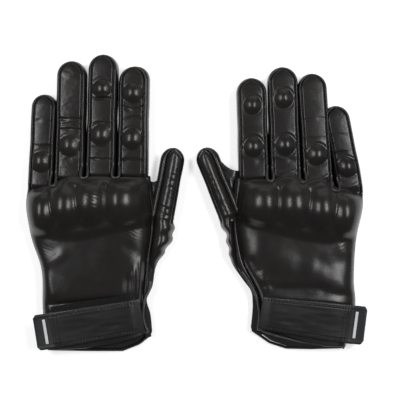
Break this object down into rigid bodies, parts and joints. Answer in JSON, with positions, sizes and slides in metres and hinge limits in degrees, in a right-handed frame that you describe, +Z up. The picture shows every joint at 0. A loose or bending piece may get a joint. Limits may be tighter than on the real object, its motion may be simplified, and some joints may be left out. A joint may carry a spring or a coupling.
{
  "type": "motorcycle gloves",
  "caption": "Pair of leather motorcycle gloves with a humped knuckle guard, round finger pads and a wrist strap that peels open.",
  "frame": {"origin": "on the surface the gloves lie on, under the middle of the pair", "axes": "+X to the right glove, +Y to the fingertips, +Z up out of the backs of the hands"},
  "size_m": [0.2844, 0.2494, 0.0305],
  "materials": {
    "glove_leather": "smooth black, semi-gloss",
    "palm_leather": "black, matt grain",
    "pad_leather": "smooth black, drawn over a firm insert",
    "guard_plastic": "moulded, matt",
    "lining_cloth": "knitted cloth",
    "closure_tape": "hook and loop tape",
    "tab_rubber": "moulded, matt"
  },
  "bodies": {
    "left_hand": {"left_back_panel": "glove_leather", "left_palm_panel": "palm_leather", "left_palm_patch": "palm_leather", "left_outer_side_panel": "glove_leather", "left_inner_side_panel": "glove_leather", "left_thenar_panel": "glove_leather", "left_fork_gussets": "glove_leather", "left_knuckle_guard": "guard_plastic", "left_lining": "lining_cloth", "left_cuff_binding": "glove_leather", "left_loop_patch": "closure_tape"},
    "left_strap": {"left_wrist_strap": "glove_leather", "left_hook_patch": "closure_tape", "left_strap_tab": "tab_rubber"},
    "left_index_lower": {"left_index_base": "glove_leather", "left_index_pad": "pad_leather"},
    "left_index_end": {"left_index_tip": "glove_leather", "left_index_tip_pad": "pad_leather"},
    "left_middle_lower": {"left_middle_base": "glove_leather", "left_middle_pad": "pad_leather"},
    "left_middle_end": {"left_middle_tip": "glove_leather", "left_middle_tip_pad": "pad_leather"},
    "left_ring_lower": {"left_ring_base": "glove_leather", "left_ring_pad": "pad_leather"},
    "left_ring_end": {"left_ring_tip": "glove_leather"},
    "left_little_lower": {"left_little_base": "glove_leather", "left_little_pad": "pad_leather"},
    "left_little_end": {"left_little_tip": "glove_leather"},
    "left_thumb_lower": {"left_thumb_base": "glove_leather"},
    "left_thumb_end": {"left_thumb_tip": "glove_leather"},
    "right_hand": {"right_back_panel": "glove_leather", "right_palm_panel": "palm_leather", "right_palm_patch": "palm_leather", "right_outer_side_panel": "glove_leather", "right_inner_side_panel": "glove_leather", "right_thenar_panel": "glove_leather", "right_fork_gussets": "glove_leather", "right_knuckle_guard": "guard_plastic", "right_lining": "lining_cloth", "right_cuff_binding": "glove_leather", "right_loop_patch": "closure_tape"},
    "right_strap": {"right_wrist_strap": "glove_leather", "right_hook_patch": "closure_tape", "right_strap_tab": "tab_rubber"},
    "right_index_lower": {"right_index_base": "glove_leather", "right_index_pad": "pad_leather"},
    "right_index_end": {"right_index_tip": "glove_leather", "right_index_tip_pad": "pad_leather"},
    "right_middle_lower": {"right_middle_base": "glove_leather", "right_middle_pad": "pad_leather"},
    "right_middle_end": {"right_middle_tip": "glove_leather", "right_middle_tip_pad": "pad_leather"},
    "right_ring_lower": {"right_ring_base": "glove_leather", "right_ring_pad": "pad_leather"},
    "right_ring_end": {"right_ring_tip": "glove_leather"},
    "right_little_lower": {"right_little_base": "glove_leather", "right_little_pad": "pad_leather"},
    "right_little_end": {"right_little_tip": "glove_leather"},
    "right_thumb_lower": {"right_thumb_base": "glove_leather"},
    "right_thumb_end": {"right_thumb_tip": "glove_leather"}
  },
  "joints": [
    {"name": "left_index_bend_root", "type": "hinge", "parent": "left_hand", "child": "left_index_lower", "pos_m": [-0.05189, 0.02426, 0], "axis": [-0.9998, 0.0175, 0], "range_deg": [0, 75]},
    {"name": "left_index_bend_middle", "type": "hinge", "parent": "left_index_lower", "child": "left_index_end", "pos_m": [-0.05119, 0.06426, 0], "axis": [-0.9998, 0.0175, 0], "range_deg": [0, 90]},
    {"name": "left_middle_bend_root", "type": "hinge", "parent": "left_hand", "child": "left_middle_lower", "pos_m": [-0.07849, 0.02426, 0], "axis": [-0.9997, 0.0244, 0], "range_deg": [0, 75]},
    {"name": "left_middle_bend_middle", "type": "hinge", "parent": "left_middle_lower", "child": "left_middle_end", "pos_m": [-0.07741, 0.06825, 0], "axis": [-0.9997, 0.0244, 0], "range_deg": [0, 90]},
    {"name": "left_ring_bend_root", "type": "hinge", "parent": "left_hand", "child": "left_ring_lower", "pos_m": [-0.10439, 0.02026, 0], "axis": [-0.9993, 0.0384, 0], "range_deg": [0, 75]},
    {"name": "left_ring_bend_middle", "type": "hinge", "parent": "left_ring_lower", "child": "left_ring_end", "pos_m": [-0.10282, 0.06123, 0], "axis": [-0.9993, 0.0384, 0], "range_deg": [0, 90]},
    {"name": "left_little_bend_root", "type": "hinge", "parent": "left_hand", "child": "left_little_lower", "pos_m": [-0.12889, 0.01327, 0], "axis": [-0.999, 0.0454, 0], "range_deg": [0, 75]},
    {"name": "left_little_bend_middle", "type": "hinge", "parent": "left_little_lower", "child": "left_little_end", "pos_m": [-0.12739, 0.04623, 0], "axis": [-0.999, 0.0454, 0], "range_deg": [0, 90]},
    {"name": "left_thumb_bend_root", "type": "hinge", "parent": "left_hand", "child": "left_thumb_lower", "pos_m": [-0.02739, -0.01174, 0], "axis": [-0.9826, 0.1857, 0], "range_deg": [0, 45]},
    {"name": "left_thumb_bend_middle", "type": "hinge", "parent": "left_thumb_lower", "child": "left_thumb_end", "pos_m": [-0.02219, 0.01578, 0], "axis": [-0.9826, 0.1857, 0], "range_deg": [0, 70]},
    {"name": "left_strap_open", "type": "hinge", "parent": "left_hand", "child": "left_strap", "pos_m": [-0.04232, -0.09519, 0.01808], "axis": [-0.1426, 0.9898, 0], "range_deg": [0, 120]},
    {"name": "right_index_bend_root", "type": "hinge", "parent": "right_hand", "child": "right_index_lower", "pos_m": [0.05111, 0.02176, 0], "axis": [-0.9997, -0.0262, 0], "range_deg": [0, 75]},
    {"name": "right_index_bend_middle", "type": "hinge", "parent": "right_index_lower", "child": "right_index_end", "pos_m": [0.05015, 0.05855, 0], "axis": [-0.9997, -0.0262, 0], "range_deg": [0, 90]},
    {"name": "right_middle_bend_root", "type": "hinge", "parent": "right_hand", "child": "right_middle_lower", "pos_m": [0.07771, 0.02176, 0], "axis": [-0.9994, -0.0349, 0], "range_deg": [0, 75]},
    {"name": "right_middle_bend_middle", "type": "hinge", "parent": "right_middle_lower", "child": "right_middle_end", "pos_m": [0.0763, 0.06222, 0], "axis": [-0.9994, -0.0349, 0], "range_deg": [0, 90]},
    {"name": "right_ring_bend_root", "type": "hinge", "parent": "right_hand", "child": "right_ring_lower", "pos_m": [0.10421, 0.01776, 0], "axis": [-0.998, -0.0628, 0], "range_deg": [0, 75]},
    {"name": "right_ring_bend_middle", "type": "hinge", "parent": "right_ring_lower", "child": "right_ring_end", "pos_m": [0.10184, 0.05541, 0], "axis": [-0.998, -0.0628, 0], "range_deg": [0, 90]},
    {"name": "right_little_bend_root", "type": "hinge", "parent": "right_hand", "child": "right_little_lower", "pos_m": [0.13075, 0.01077, 0], "axis": [-0.9925, -0.1219, 0], "range_deg": [0, 75]},
    {"name": "right_little_bend_middle", "type": "hinge", "parent": "right_little_lower", "child": "right_little_end", "pos_m": [0.12705, 0.0409, 0], "axis": [-0.9925, -0.1219, 0], "range_deg": [0, 90]},
    {"name": "right_thumb_bend_root", "type": "hinge", "parent": "right_hand", "child": "right_thumb_lower", "pos_m": [0.03, -0.00924, 0], "axis": [-0.9272, -0.3746, 0], "range_deg": [0, 45]},
    {"name": "right_thumb_bend_middle", "type": "hinge", "parent": "right_thumb_lower", "child": "right_thumb_end", "pos_m": [0.01951, 0.01673, 0], "axis": [-0.9272, -0.3746, 0], "range_deg": [0, 70]},
    {"name": "right_strap_open", "type": "hinge", "parent": "right_hand", "child": "right_strap", "pos_m": [0.05004, -0.09519, 0.02027], "axis": [-0.1426, -0.9898, 0], "range_deg": [0, 120]},
    {"name": "right_glove_lift", "type": "slide", "parent": "left_hand", "child": "right_hand", "axis": [0, 0, 1], "range_m": [0, 0.15]}
  ]
}
